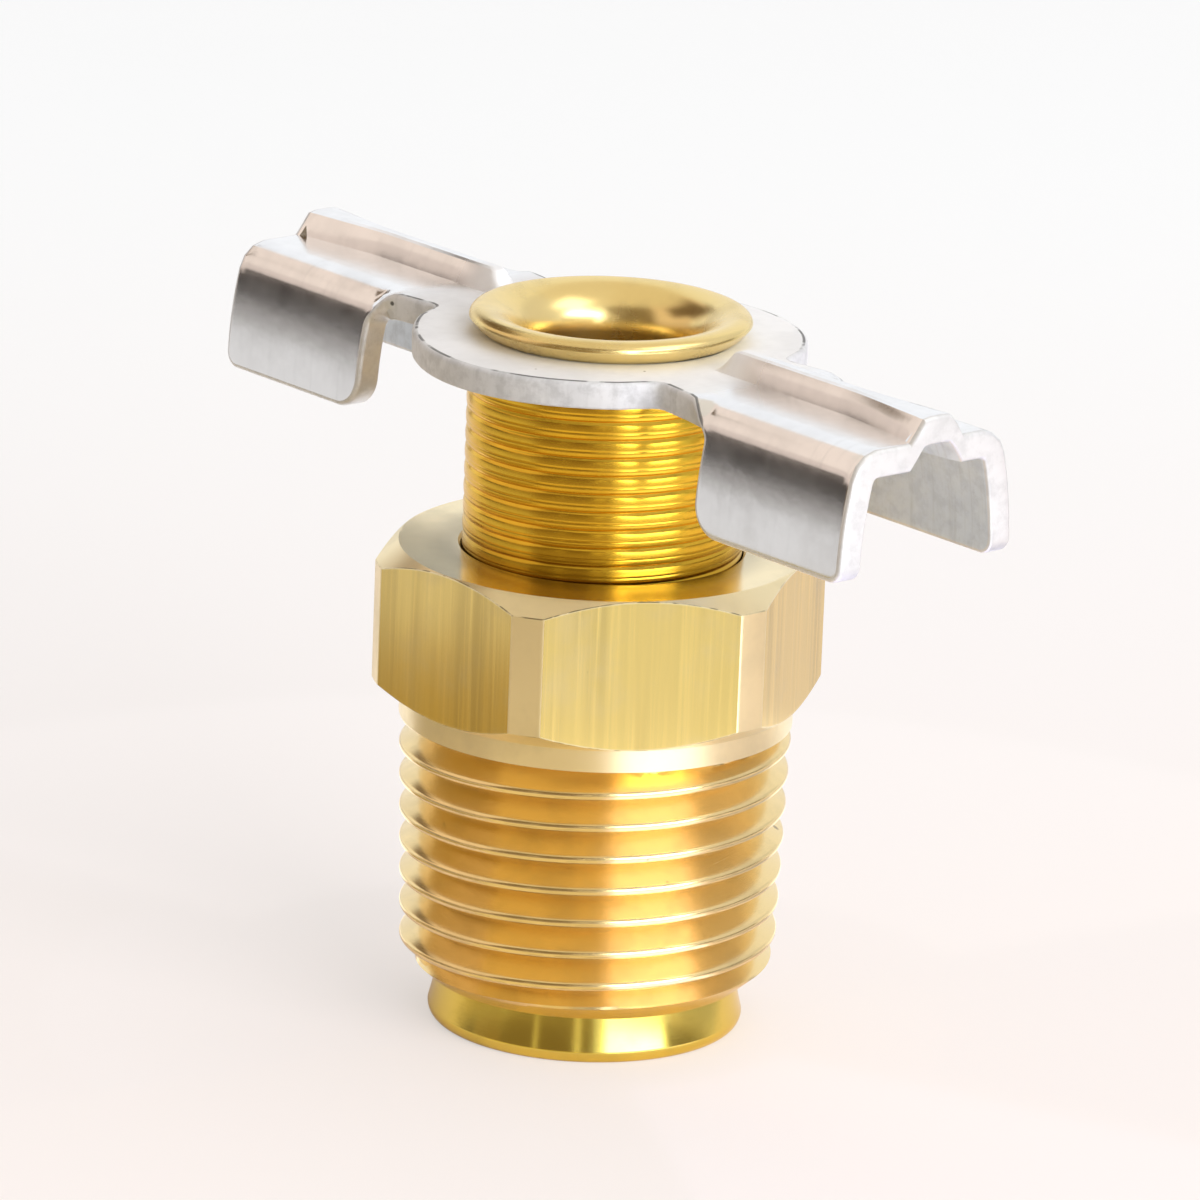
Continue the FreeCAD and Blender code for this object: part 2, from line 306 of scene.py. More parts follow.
class NodeMaker:
    """Short ways to add and link nodes in one tree."""

    def __init__(self, tree):
        self.tree = tree

    def node(self, kind, **settings):
        """New node with its plain settings."""
        made = self.tree.nodes.new(kind)
        for key, value in settings.items():
            setattr(made, key, value)
        return made

    def feed(self, socket, value):
        """Links an output to a socket, or sets the socket's own value."""
        if isinstance(value, bpy.types.NodeSocket):
            self.tree.links.new(value, socket)
        else:
            socket.default_value = value

    def math(self, operation, a, b=0.0, c=0.0):
        """Output of a math node."""
        made = self.node("ShaderNodeMath", operation=operation)
        for socket, value in zip(made.inputs, (a, b, c)):
            self.feed(socket, value)
        return made.outputs[0]

    def mix(self, share, a, b):
        """Output of a colour mix."""
        made = self.node("ShaderNodeMix", data_type="RGBA")
        self.feed(made.inputs["Factor"], share)
        self.feed(made.inputs[6], a)
        self.feed(made.inputs[7], b)
        return made.outputs[2]

    def between(self, value, low, high, to_low=0.0, to_high=1.0):
        """Value carried from one range to another with a smooth step."""
        made = self.node("ShaderNodeMapRange", interpolation_type="SMOOTHSTEP")
        for socket, item in zip(made.inputs, (value, low, high, to_low, to_high)):
            self.feed(socket, item)
        return made.outputs[0]

    def noise(self, vector, scale, detail=2.0, roughness=0.5):
        """Value of a noise texture."""
        made = self.node("ShaderNodeTexNoise")
        self.feed(made.inputs["Vector"], vector)
        self.feed(made.inputs["Scale"], scale)
        self.feed(made.inputs["Detail"], detail)
        self.feed(made.inputs["Roughness"], roughness)
        return made.outputs["Fac"]

    def scaled(self, vector, scale):
        """Vector times a vector."""
        made = self.node("ShaderNodeVectorMath", operation="MULTIPLY")
        self.feed(made.inputs[0], vector)
        self.feed(made.inputs[1], scale)
        return made.outputs[0]


def object_point(maker):
    """Point in the piece's own frame."""
    return maker.node("ShaderNodeTexCoord").outputs["Object"]


def new_group(name, inputs, outputs):
    """Node group with number inputs and value outputs, and a maker for its tree."""
    tree = bpy.data.node_groups.new(name, "ShaderNodeTree")
    for label, value in inputs.items():
        socket = tree.interface.new_socket(label, in_out="INPUT", socket_type="NodeSocketFloat")
        socket.default_value = value
    for label in outputs:
        tree.interface.new_socket(label, in_out="OUTPUT", socket_type="NodeSocketFloat")
    maker = NodeMaker(tree)
    entry = maker.node("NodeGroupInput")
    end = maker.node("NodeGroupOutput")
    return maker, entry.outputs, end.inputs


def turning_marks():
    """Fine rings left by the lathe tool, by height and radius."""
    inputs = {"Rings per metre": 24000.0, "Waver": 0.15}
    maker, given, wanted = new_group("turning_marks", inputs, ["Height", "Along"])
    point = object_point(maker)
    parts = maker.node("ShaderNodeSeparateXYZ")
    maker.feed(parts.inputs[0], point)
    squares = [maker.math("POWER", parts.outputs[axis], 2.0) for axis in (0, 1)]
    radius = maker.math("SQRT", maker.math("ADD", *squares))
    along = maker.math("ADD", radius, parts.outputs[2])
    waver = maker.math("MULTIPLY", maker.noise(point, 260.0), given["Waver"])
    rings = maker.node("ShaderNodeTexNoise", noise_dimensions="1D")
    maker.feed(rings.inputs["W"], maker.math("MULTIPLY_ADD", along, given["Rings per metre"], waver))
    maker.feed(rings.inputs["Scale"], 1.0)
    maker.feed(rings.inputs["Detail"], 3.0)
    maker.feed(rings.inputs["Roughness"], 0.7)
    maker.feed(wanted["Height"], rings.outputs["Fac"])
    maker.feed(wanted["Along"], along)
    return maker.tree


def drawn_streaks():
    """Upright streaks on bar that was drawn through a die."""
    maker, given, wanted = new_group("drawn_streaks", {"Streaks per metre": 2600.0}, ["Height", "Broad"])
    point = object_point(maker)
    fine = maker.scaled(point, (1.0, 1.0, 0.02))
    broad = maker.scaled(point, (1.0, 1.0, 0.06))
    maker.feed(wanted["Height"], maker.noise(fine, given["Streaks per metre"], 4.0, 0.6))
    broad_scale = maker.math("MULTIPLY", given["Streaks per metre"], 0.2)
    maker.feed(wanted["Broad"], maker.noise(broad, broad_scale, 2.0))
    return maker.tree


def handling_smears():
    """Cloudy smears of tarnish and handling."""
    maker, given, wanted = new_group("handling_smears", {"Patches per metre": 220.0}, ["Smear"])
    cloud = maker.noise(object_point(maker), given["Patches per metre"], 4.0, 0.62)
    maker.feed(wanted["Smear"], maker.between(cloud, 0.42, 0.66))
    return maker.tree


def dark_specks():
    """Small scattered pits and specks."""
    maker, given, wanted = new_group("dark_specks", {"Specks per metre": 420.0, "Size": 0.10}, ["Speck"])
    point = object_point(maker)
    cells = maker.node("ShaderNodeTexVoronoi")
    maker.feed(cells.inputs["Vector"], point)
    maker.feed(cells.inputs["Scale"], given["Specks per metre"])
    size = maker.math("MULTIPLY", given["Size"], maker.between(maker.noise(point, 300.0), 0.50, 0.72))
    edge = maker.math("MULTIPLY", size, 0.5)
    maker.feed(wanted["Speck"], maker.between(cells.outputs["Distance"], size, edge))
    return maker.tree


def edge_marks():
    """Bright wear with a painted glint, and broken dark marks, along the edges that the mesh marks."""
    maker, given, wanted = new_group("edge_marks", {"Burrs per metre": 900.0}, ["Worn", "Burr"])
    weight = maker.node("ShaderNodeAttribute", attribute_name="edge").outputs["Fac"]
    spots = maker.noise(object_point(maker), given["Burrs per metre"], 3.0, 0.6)
    stretches = maker.between(maker.noise(object_point(maker), 170.0), 0.36, 0.50)
    spots = maker.math("MULTIPLY", maker.between(spots, 0.45, 0.56), stretches)
    dark_mark = maker.math("MULTIPLY", spots, maker.between(weight, 0.62, 0.88))
    maker.feed(wanted["Burr"], dark_mark)
    maker.feed(wanted["Worn"], maker.math("SUBTRACT", weight, dark_mark))
    return maker.tree


def new_material(name):
    """Material with one metal shader, and a maker for its tree."""
    material = bpy.data.materials.new(name)
    material.use_nodes = True
    maker = NodeMaker(material.node_tree)
    shader = material.node_tree.nodes["Principled BSDF"]
    shader.inputs["Metallic"].default_value = 1.0
    return material, maker, shader


def use_group(maker, tree, **values):
    """Node group placed in a material with its own values."""
    made = maker.node("ShaderNodeGroup")
    made.node_tree = tree
    for label, value in values.items():
        maker.feed(made.inputs[label.replace("_", " ")], value)
    return made.outputs


def bump(maker, shader, height, depth, strength=1.0):
    """Feeds a height to the shader's normal, with its depth in metres."""
    made = maker.node("ShaderNodeBump")
    maker.feed(made.inputs["Strength"], strength)
    maker.feed(made.inputs["Distance"], depth)
    maker.feed(made.inputs["Height"], height)
    maker.feed(shader.inputs["Normal"], made.outputs[0])


def shade(rgb, amount):
    """Colour with its brightness scaled, as a socket value."""
    return (*[min(1.0, c * amount) for c in rgb], 1.0)


def turned_brass(name, rgb, groups, roughness, depth, across, joint_shade=0.0, tarnish=0.90):
    """Lathe-finished brass, with its sheen spread across the tool's rings.

    depth is that of the rings and across how far they spread the sheen. The next argument sets how far a
    painted shade darkens the brass where the stem enters the body, standing in for the stem's dark
    reflection there, and tarnish how bright the brass is under a smear.
    """
    material, maker, shader = new_material(name)
    shader.inputs["Anisotropic"].default_value = across
    shader.inputs["Anisotropic Rotation"].default_value = 0.25
    tangent = maker.node("ShaderNodeTangent", direction_type="RADIAL", axis="Z")
    maker.feed(shader.inputs["Tangent"], tangent.outputs[0])
    marks = use_group(maker, groups["turning_marks"])
    smear = use_group(maker, groups["handling_smears"])
    edge = use_group(maker, groups["edge_marks"])
    tint = maker.mix(smear["Smear"], shade(rgb, 1.0), shade(rgb, tarnish))
    # Painted shade: the brass darkens towards the joint where the stem enters the body, standing in for the
    # stem's dark reflection and the shade there.
    shade_at_joint = maker.between(marks["Along"], JOINT_SHADE_FROM, JOINT_SHADE_TO, joint_shade, 0.0)
    tint = maker.mix(shade_at_joint, tint, shade(rgb, 0.30))
    # Edges lighten a little for wear and a painted glint, and take broken dark marks.
    tint = maker.mix(maker.math("MULTIPLY", edge["Worn"], 0.12), tint, (0.98, 0.88, 0.62, 1))
    tint = maker.mix(maker.math("MULTIPLY", edge["Burr"], 0.75), tint, (0.10, 0.07, 0.03, 1))
    specks = use_group(maker, groups["dark_specks"], Size=0.16)
    maker.feed(shader.inputs["Base Color"], maker.mix(specks["Speck"], tint, shade(rgb, 0.45)))
    rough = maker.math("MULTIPLY_ADD", marks["Height"], 0.06, roughness - 0.03)
    maker.feed(shader.inputs["Roughness"], maker.math("MULTIPLY_ADD", smear["Smear"], 0.05, rough))
    bump(maker, shader, marks["Height"], depth)
    return material


def drawn_brass(rgb, groups):
    """Flats of the hexagon bar as drawn."""
    material, maker, shader = new_material("drawn_brass")
    streaks = use_group(maker, groups["drawn_streaks"])
    smear = use_group(maker, groups["handling_smears"], Patches_per_metre=150.0)
    specks = use_group(maker, groups["dark_specks"], Size=0.12)
    edge = use_group(maker, groups["edge_marks"])
    tint = maker.mix(maker.between(streaks["Broad"], 0.48, 0.72), shade(rgb, 1.0), shade(rgb, 0.82))
    tint = maker.mix(maker.between(streaks["Height"], 0.45, 0.8), tint, shade(rgb, 1.14))
    tint = maker.mix(maker.math("MULTIPLY", smear["Smear"], 0.22), tint, (0.50, 0.46, 0.40, 1))
    # Edges of the flats lighten to a pale painted glint over their wear, and take broken dark marks.
    tint = maker.mix(maker.math("MULTIPLY", edge["Worn"], 0.8), tint, (1.0, 0.95, 0.72, 1))
    tint = maker.mix(maker.math("MULTIPLY", edge["Burr"], 0.8), tint, (0.12, 0.08, 0.03, 1))
    maker.feed(shader.inputs["Base Color"], maker.mix(specks["Speck"], tint, shade(rgb, 0.45)))
    rough = maker.math("MULTIPLY_ADD", streaks["Broad"], 0.14, 0.10)
    maker.feed(shader.inputs["Roughness"], maker.math("MULTIPLY_ADD", smear["Smear"], 0.06, rough))
    bump(maker, shader, streaks["Height"], 0.016 * MM)
    return material


def zinc_plate(name, rgb, groups, satin, burnished, mottle):
    """Bright zinc plating on rolled sheet, satin on the disc and burnished by the die along the wings."""
    material, maker, shader = new_material(name)
    point = object_point(maker)
    parts = maker.node("ShaderNodeSeparateXYZ")
    maker.feed(parts.inputs[0], point)
    on_wing = maker.between(maker.math("ABSOLUTE", parts.outputs[0]), SATIN_TO, BURNISHED_FROM)
    smear = use_group(maker, groups["handling_smears"], Patches_per_metre=180.0)
    specks = use_group(maker, groups["dark_specks"], Specks_per_metre=620.0, Size=0.13)
    edge = use_group(maker, groups["edge_marks"], Burrs_per_metre=420.0)
    draw_lines = maker.noise(maker.scaled(point, (1.0, 0.05, 0.05)), 2600.0, 4.0, 0.6)
    blotches = maker.between(maker.noise(point, 1100.0, 4.0, 0.65), 0.40, 0.68)
    tint = maker.mix(smear["Smear"], shade(rgb, 1.0), shade(rgb, 0.93))
    tint = maker.mix(maker.math("MULTIPLY", blotches, mottle), tint, shade(rgb, 0.52))
    share = maker.math("MULTIPLY_ADD", on_wing, 0.15, 1.4 * mottle)
    lines = maker.math("MULTIPLY", maker.between(draw_lines, 0.5, 0.8), share)
    tint = maker.mix(lines, tint, shade(rgb, 0.70))
    # Broken dark marks along the marked upper edges of the sheet.
    tint = maker.mix(maker.math("MULTIPLY", edge["Burr"], 0.8), tint, shade(rgb, 0.20))
    maker.feed(shader.inputs["Base Color"], maker.mix(specks["Speck"], tint, shade(rgb, 0.22)))
    base = maker.math("MULTIPLY_ADD", on_wing, burnished - satin, satin)
    rough = maker.math("MULTIPLY_ADD", blotches, 0.2 * mottle, base)
    maker.feed(shader.inputs["Roughness"], maker.math("MULTIPLY_ADD", smear["Smear"], 0.05, rough))
    peel = maker.math("ADD", maker.noise(point, 700.0, 3.0, 0.55), maker.math("MULTIPLY", draw_lines, 0.10))
    height = maker.math("SUBTRACT", peel, maker.math("MULTIPLY", specks["Speck"], 0.8))
    bump(maker, shader, height, 0.008 * MM)
    return material


def seal_rubber():
    """Black moulded rubber."""
    material, maker, shader = new_material("seal_rubber_black")
    shader.inputs["Metallic"].default_value = 0.0
    grain = maker.noise(object_point(maker), 2400.0, 3.0)
    tint = maker.mix(grain, (0.010, 0.010, 0.011, 1), (0.022, 0.021, 0.020, 1))
    maker.feed(shader.inputs["Base Color"], tint)
    maker.feed(shader.inputs["Roughness"], maker.math("MULTIPLY_ADD", grain, 0.2, 0.5))
    bump(maker, shader, grain, 0.01 * MM)
    return material


def finish_groups():
    """The shared effects, built once."""
    makers = (turning_marks, drawn_streaks, handling_smears, dark_specks, edge_marks)
    return {make.__name__: bpy.data.node_groups.get(make.__name__) or make() for make in makers}


# Pieces

SIDES = 6
FLANK = math.radians(60)
PIPE_TAPER = 1 / 32
# Phases of a turn at which a thread has its rows, from root to crest and back
HALF_TURN = (0.0, 0.03, 0.12, 0.22, 0.30, 0.3663, 0.385, 0.405, 0.425, 0.44, 0.47, 0.5)
THREAD_PHASES = HALF_TURN + tuple(1 - phase for phase in reversed(HALF_TURN[1:-1]))
LOWER_CREST = (0.44, 0.47)
ROLLED_PHASES = (
    0.0, 0.04, 0.08, 0.12, 0.18, 0.26, 0.32, 0.36, 0.4,
    0.44, 0.48, 0.54, 0.62, 0.70, 0.78, 0.84, 0.88, 0.92, 0.96,
)
# Shallow lap that the rolling leaves beside each crest, and the sharper groove between two turns
LAP_PHASE = 0.40
LAP_HALF = 0.08
LAP_DEPTH = 0.022 * MM
GROOVE_HALF = 0.16
GROOVE_DEPTH = 0.060 * MM


class DRAINCOCK_OT_body(bpy.types.Operator):
    """Build the hexagon body with its taper pipe thread"""

    bl_idname = "drain_cock.body"
    bl_label = "Hexagon body"

    TURNED, DRAWN, THREAD, FACED = range(4)
    RUN_OUT_SLOPE = 3.0
    END_SLOPE = 1.15
    END_BREAK = 0.12 * MM
    RELIEF_HEIGHT = 9.3 * MM
    RELIEF_RUN = 0.4 * MM
    RELIEF_END = 0.35 * MM
    FLAT_BREAK = 0.03 * MM
    CORNER_BREAK = 0.04 * MM
    CHAMFER_START = 0.06 * MM
    CHAMFER_RISE = 0.05 * MM
    COLLAR_SHARES = (0.15, 0.5, 0.88, 0.96)
    CHAMFER_SHARES = (0.0, 0.1, 0.35, 0.65, 0.9, 1.0)
    WALL_SHARES = (0.0, 0.012, 0.1, 0.25, 0.4, 0.6, 0.75, 0.9, 0.988, 1.0)
    FACE_SHARES = (0.93, 0.6, 0.3, 0.06)
    FLAT_COLUMNS = 31
    CORNER_COLUMNS = 7
    EDGE_COLUMN = math.radians(0.26)
    CREST_WEAR = 0.7
    CHAMFER_WEAR = 0.9

    def execute(self, context):
        size = context.scene.drain_cock_body
        low, high = BODY_LOW.z, BODY_HIGH.z
        flat_r = size.across_flats / 2
        flat_half = math.acos(flat_r / size.corner_radius)
        angles, on_flat = self.columns(size.hex_turn, flat_half)
        hex_low = high - size.hex_height
        thread_top = hex_low - size.collar_height
        slope = math.tan(size.chamfer)

        def wall_radius(angle):
            side = math.tau / SIDES
            off = (angle - size.hex_turn + side / 2) % side - side / 2
            return min(flat_r / math.cos(off), size.corner_radius)

        def chamfer_rise(angle):
            return (wall_radius(angle) - flat_r) * slope

        def wall(share):
            def at(angle):
                rise = chamfer_rise(angle) + self.FLAT_BREAK
                return wall_radius(angle), hex_low + rise + (size.hex_height - 2 * rise) * share

            return at

        def chamfer(at_top, share):
            def at(angle):
                inner = flat_r - self.CHAMFER_START
                radius = inner + (wall_radius(angle) - self.CORNER_BREAK - inner) * share
                rise = max(0.0, radius - flat_r + self.CHAMFER_RISE) * slope
                return radius, (high - rise if at_top else hex_low + rise)

            return at

        def thread_radius(phase, height):
            off = abs(phase - 0.5) * size.pitch
            bend = size.crest_round * math.sin(FLANK)
            drop = size.crest_round - math.sqrt(size.crest_round ** 2 - min(off, bend) ** 2)
            drop += max(0.0, off - bend) * math.tan(FLANK)
            radius = size.pitch_radius + size.crest_height + (height - low) * PIPE_TAPER - drop
            run_out = size.collar_radius - (thread_top - height) * self.RUN_OUT_SLOPE
            radius = max(radius, run_out)
            return min(radius, size.end_radius + (height - low) * self.END_SLOPE, size.collar_radius)

        rows = [(size.relief_radius + 0.3 * MM, low), (size.end_radius - self.END_BREAK, low)]
        thread_first = len(rows)
        rows += helix_rows(low, thread_top, size.pitch, THREAD_PHASES, thread_radius, size.thread_start)
        thread_last = len(rows) - 1
        under = hex_low - thread_top
        rows += [(size.collar_radius, thread_top + under * s) for s in self.COLLAR_SHARES]
        rows += [(size.collar_radius + 0.05 * MM, hex_low), (size.collar_radius + 0.15 * MM, hex_low)]
        rows += [chamfer(False, s) for s in self.CHAMFER_SHARES]
        wall_first = len(rows)
        rows += [wall(s) for s in self.WALL_SHARES]
        wall_last = len(rows) - 1
        rows += [chamfer(True, s) for s in reversed(self.CHAMFER_SHARES)]
        top_first = len(rows)
        mouth = size.bore_radius + size.mouth_chamfer
        rows += [(mouth + (flat_r - mouth) * s, high) for s in self.FACE_SHARES]
        rows += [(mouth, high - 0.02 * MM), (size.bore_radius, high - size.mouth_chamfer)]
        step = low + self.RELIEF_HEIGHT
        rows += [(size.bore_radius, step + self.RELIEF_RUN), (size.relief_radius, step)]
        rows += [(size.relief_radius, low + self.RELIEF_END), rows[0]]

        def seam(row):
            if thread_first <= row <= thread_last:
                return min(row + len(THREAD_PHASES), thread_last)
            return row

        points, faces = ring_grid(angles, rows, seam)
        groups = finish_groups()
        materials = [
            turned_brass("turned_brass", size.turned_brass, groups, 0.32, 0.003 * MM, 0.6),
            drawn_brass(size.brass, groups),
            turned_brass("thread_brass", size.thread_brass, groups, 0.21, 0.002 * MM, 0.5),
            # The hex top gets a painted shade round the bore, for the stem's dark reflection.
            turned_brass("faced_brass", size.turned_brass, groups, 0.17, 0.001 * MM, 0.3, 0.5),
        ]
        columns = len(angles)

        def finish(number):
            row, column = divmod(number, columns)
            if thread_first <= row < thread_last:
                return self.THREAD
            if row >= top_first - 1:
                return self.FACED
            return self.DRAWN if wall_first <= row < wall_last and on_flat[column] else self.TURNED

        # Crest and chamfer rows carry edge weights for wear, a painted glint and dark marks.
        crests = {THREAD_PHASES.index(phase) for phase in LOWER_CREST}
        edges = []
        for row in range(len(rows)):
            wear_and_glint = 0.0
            if thread_first <= row <= thread_last and (row - thread_first) % len(THREAD_PHASES) in crests:
                wear_and_glint = self.CREST_WEAR
            elif row in (wall_first - 1, wall_first, wall_last, wall_last + 1):
                wear_and_glint = self.CHAMFER_WEAR
            edges += [wear_and_glint] * columns
        piece = new_piece("hex_body", points, faces, materials, finish, edges)
        place(piece, "valve_body", "body")
        return {"FINISHED"}

    def columns(self, first, flat_half):
        """Angles round the body, close at the edges of each flat, and which of them start on a flat."""
        edge = self.EDGE_COLUMN
        corner_half = math.pi / SIDES - flat_half
        angles = []
        on_flat = []
        for side in range(SIDES):
            middle = first + side * math.tau / SIDES
            flat = spread(-flat_half + 2 * edge, flat_half - 2 * edge, self.FLAT_COLUMNS)
            flat = [-flat_half + edge] + flat + [flat_half - edge]
            corner = spread(-corner_half + 2 * edge, corner_half - 2 * edge, self.CORNER_COLUMNS)
            corner = [-corner_half + edge] + corner + [corner_half - edge]
            angles += [middle + a for a in flat]
            on_flat += [True] * (len(flat) - 1) + [False]
            angles += [middle + math.pi / SIDES + a for a in corner]
            on_flat += [False] * len(corner)
        return angles, on_flat


class DRAINCOCK_OT_stem(bpy.types.Operator):
    """Build the hollow stem with its sealing head and flared top"""

    bl_idname = "drain_cock.stem"
    bl_label = "Threaded stem"

    ROLLED, BRIGHT, FLARED = range(3)
    COLUMNS = 144
    LIP_HEIGHT = 0.62 * MM
    SEAT_GAP = 0.05 * MM
    EDGE_BREAK = 0.06 * MM
    HOLLOW = 0.02 * MM
    HEAD_SHARES = (0.06, 0.2, 0.4, 0.6, 0.8, 0.94, 1.0)
    SEAT_RADIUS = 7.7 * MM
    SEAT_FLOOR = 1.7 * MM
    SHANK_HEIGHTS = (1.7, 1.9, 4.0, 6.0, 8.5, 11.0, 12.56)
    SHANK_TOP = 14.0 * MM
    HIDDEN_THREAD = 2.0 * MM
    THREAD_FADE = 1.5 * MM
    SHOULDER = 0.35 * MM
    THREAD_END = 0.3 * MM
    SPIGOT_RADIUS = 6.4 * MM
    BORE_HEIGHTS = (30.0, 20.0, 11.0, 5.5)
    DRILL_POINT = 2.764
    RIM_RADIUS = 6.75 * MM
    RIM_RISE = 0.78 * MM
    RIM_CURVE = 1.6
    PORT_RADIUS = 2.25 * MM
    PORT_HEIGHT = 8.5 * MM
    DRILL_LENGTH = 15 * MM

    def execute(self, context):
        size = context.scene.drain_cock_stem
        handle = context.scene.drain_cock_handle
        angles = spread(0, math.tau, self.COLUMNS + 1)[:-1]
        lip_z = self.LIP_HEIGHT
        head_top = BODY_LOW.z - self.SEAT_GAP
        plate_low = handle.plate_top - handle.sheet
        thread_low = BODY_HIGH.z - self.HIDDEN_THREAD
        thread_top = plate_low - self.THREAD_END

        def thread_radius(phase, height):
            off = abs(phase - 0.5) * size.pitch
            drop = size.thread_round - math.sqrt(size.thread_round ** 2 - off ** 2)
            lap = min(abs(phase - LAP_PHASE) / LAP_HALF, 1.0)
            drop += LAP_DEPTH * math.cos(lap * math.pi / 2) ** 2
            groove = min(min(phase, 1 - phase) / GROOVE_HALF, 1.0)
            drop += GROOVE_DEPTH * math.cos(groove * math.pi / 2) ** 2
            return size.radius - drop * smooth((height - thread_low) / self.THREAD_FADE)

        rows = [(0.0, 0.0), (size.foot_radius * 0.5, 0.0), (size.foot_radius - 0.1 * MM, 0.0)]
        lip_drop = size.lip_radius - size.foot_radius
        rows += [
            (size.foot_radius + lip_drop * math.sin(a), lip_z * (1 - math.cos(a)))
            for a in spread(0.0, math.pi / 2, 9)
        ]
        for share in self.HEAD_SHARES:
            hollow = self.HOLLOW * math.sin(math.pi * share)
            radius = size.lip_radius + (size.neck_radius - size.lip_radius) * share - hollow
            rows.append((radius, lip_z + (head_top - self.EDGE_BREAK - lip_z) * share))
        rows += [(size.neck_radius - self.EDGE_BREAK, head_top)]
        rows += [(self.SEAT_RADIUS, head_top), (self.SEAT_RADIUS, self.SEAT_FLOOR)]
        rows += [(size.shank_radius, z * MM) for z in self.SHANK_HEIGHTS]
        rows += [(size.radius, self.SHANK_TOP)]
        thread_first = len(rows)
        rows += helix_rows(thread_low, thread_top, size.pitch, ROLLED_PHASES, thread_radius, 0.0)
        thread_last = len(rows) - 1
        rows += [(size.radius - self.SHOULDER, plate_low)]
        rows += [(self.SPIGOT_RADIUS, z) for z in (plate_low, handle.plate_top)]
        flare_first = len(rows)
        rows += self.flare(size, handle.plate_top)
        rows += [(size.bore_radius, z * MM) for z in self.BORE_HEIGHTS]
        end = self.BORE_HEIGHTS[-1]
        rows += [(size.bore_radius * s, (end - self.DRILL_POINT * (1 - s)) * MM) for s in (0.5, 0.0)]

        def seam(row):
            if thread_first <= row <= thread_last:
                return min(row + len(ROLLED_PHASES), thread_last)
            return row

        points, faces = ring_grid(angles, rows, seam)
        groups = finish_groups()
        materials = [
            # The rolled stem gets a painted shade just above the body.
            turned_brass("stem_brass_rolled", size.brass, groups, 0.22, 0.001 * MM, 0.3, 0.4),
            turned_brass("stem_brass_bright", size.foot_brass, groups, 0.12, 0.001 * MM, 0.3),
            turned_brass("stem_brass_flared", size.flare_brass, groups, 0.25, 0.001 * MM, 0.0, 0.0, 0.86),
        ]

        def finish(number):
            row = number // len(angles)
            if row >= flare_first - 1:
                return self.FLARED
            return self.BRIGHT if row < thread_first - 1 else self.ROLLED

        piece = new_piece("threaded_stem", points, faces, materials, finish)
        self.drill_ports(piece)
        place(piece, "stem_and_handle", "stem")
        return {"FINISHED"}

    def flare(self, size, plate_top):
        """Rows of the flared rim, from the plate up, over and down into the bore."""
        edge_z = plate_top + self.RIM_RISE
        top_z = STEM_HIGH.z
        rows = []
        for share in spread(0.0, 1.0, 5):
            radius = self.RIM_RADIUS + (size.flare_radius - self.RIM_RADIUS) * share
            rows.append((radius, plate_top + self.RIM_RISE * share ** self.RIM_CURVE))
        for share in spread(0.12, 1.0, 8):
            turned = share * math.pi / 2
            radius = size.mouth_radius + (size.flare_radius - size.mouth_radius) * math.cos(turned)
            rows.append((radius, edge_z + (top_z - edge_z) * math.sin(turned)))
        run = size.mouth_radius - size.bore_radius
        rise = top_z - size.throat
        radius = (run ** 2 + rise ** 2) / (2 * run)
        for turned in spread(math.asin(rise / radius) * 0.96, 0.0, 18):
            out = size.bore_radius + radius * (1 - math.cos(turned))
            rows.append((out, size.throat + radius * math.sin(turned)))
        return rows

    def drill_ports(self, piece):
        """Cuts the cross holes through the shank."""
        for axis in ("X", "Y"):
            drill = bpy.data.meshes.new("port_drill")
            shell = bmesh.new()
            spin = Matrix.Rotation(math.pi / 2, 4, "Y" if axis == "X" else "X")
            bmesh.ops.create_cone(
                shell, cap_ends=True, segments=48,
                radius1=self.PORT_RADIUS, radius2=self.PORT_RADIUS, depth=self.DRILL_LENGTH,
                matrix=Matrix.Translation((0, 0, self.PORT_HEIGHT)) @ spin,
            )
            shell.to_mesh(drill)
            shell.free()
            cutter = bpy.data.objects.new("port_drill", drill)
            bpy.context.scene.collection.objects.link(cutter)
            cut = piece.modifiers.new("port", "BOOLEAN")
            cut.object = cutter
            cut.solver = "EXACT"
            cut.operation = "DIFFERENCE"
            bpy.context.view_layer.update()
            solid = piece.evaluated_get(bpy.context.evaluated_depsgraph_get())
            drilled = bpy.data.meshes.new_from_object(solid)
            piece.modifiers.clear()
            old = piece.data
            piece.data = drilled
            drilled.name = "threaded_stem"
            bpy.data.meshes.remove(old)
            bpy.data.objects.remove(cutter)
            bpy.data.meshes.remove(drill)
            drilled.set_sharp_from_angle(angle=SHARP_ANGLE)


